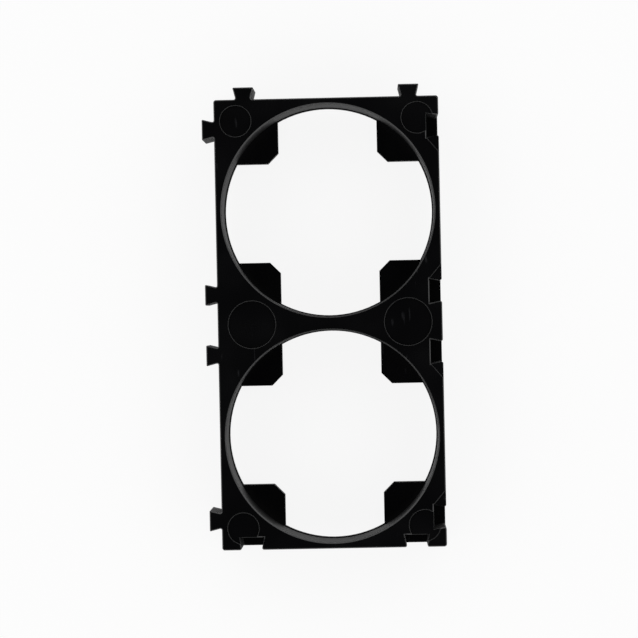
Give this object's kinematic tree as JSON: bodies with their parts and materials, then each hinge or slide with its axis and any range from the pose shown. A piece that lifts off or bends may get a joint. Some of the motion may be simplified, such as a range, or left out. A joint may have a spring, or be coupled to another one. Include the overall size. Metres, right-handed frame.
{
  "type": "two-cell battery holder bracket",
  "caption": "Moulded two-cell bracket: round cell bores with corner stops, strip channels across the back, and dovetail tabs and sockets for joining more brackets into a pack.",
  "frame": {"origin": "middle of the overall footprint, tabs included, on the plane of the back pads that it lies on", "axes": "+Z towards the front, where the cells go in, along both cell axes; +Y along the pair, towards the end with the tabs; +X towards the side with the sockets"},
  "size_m": [0.0366, 0.0716, 0.01],
  "materials": {
    "holder_plastic": "injection-moulded black ABS, fine moulded satin, smoother in the bores"
  },
  "bodies": {
    "root": {"cell_holder": "holder_plastic"}
  },
  "joints": []
}
